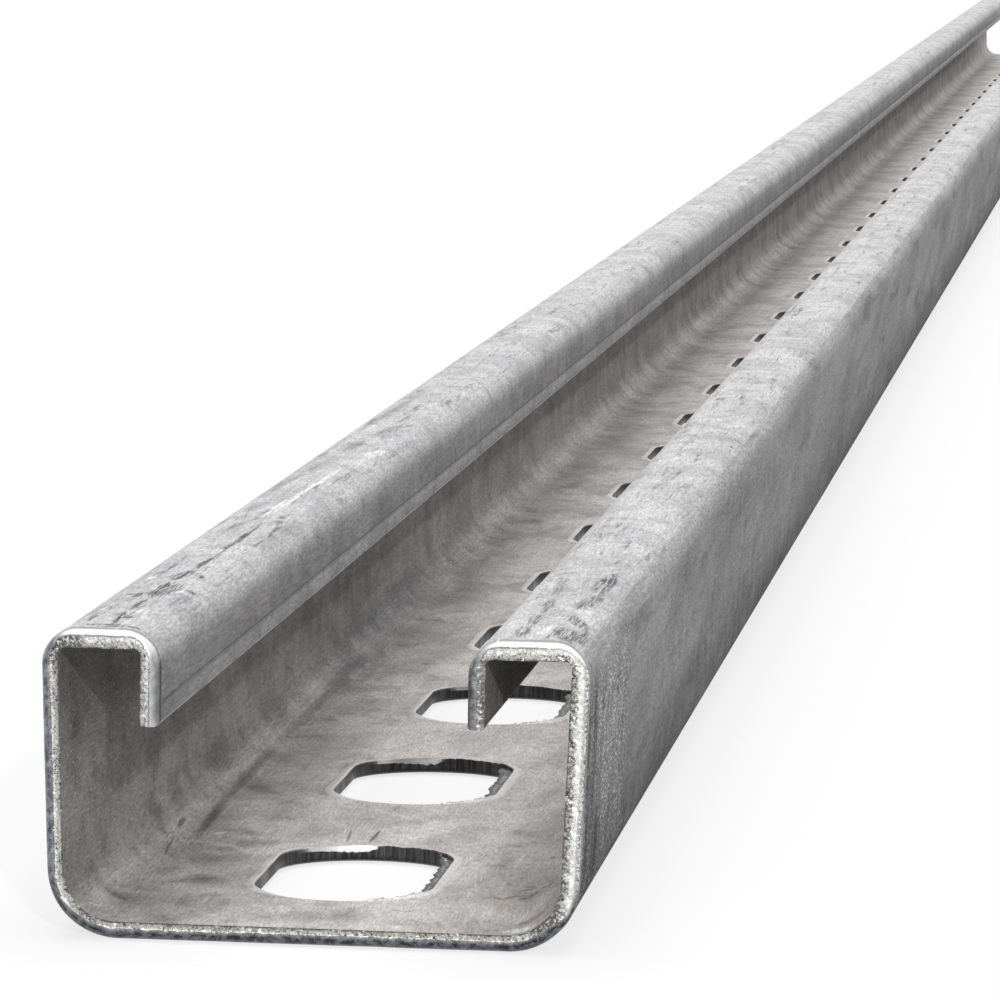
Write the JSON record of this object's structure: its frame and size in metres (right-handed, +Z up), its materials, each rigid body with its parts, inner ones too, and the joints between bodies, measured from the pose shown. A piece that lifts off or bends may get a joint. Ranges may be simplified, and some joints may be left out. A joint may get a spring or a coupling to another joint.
{
  "type": "perforated strut channel",
  "caption": "Long C-shaped steel strut channel with inturned lips along its open mouth and a row of round-ended slots through its web.",
  "frame": {"origin": "middle of the channel's length and width, on the underside of the web", "axes": "+X across the channel to the right-hand wall, +Y along its length away from the near end, +Z up from the web to the mouth"},
  "size_m": [0.0412, 2, 0.0234],
  "materials": {
    "galvanised_steel": "dull weathered zinc on rolled steel, scuffed along the flanges, with a bare sheared end"
  },
  "bodies": {
    "root": {"strut_channel": "galvanised_steel"}
  },
  "joints": []
}
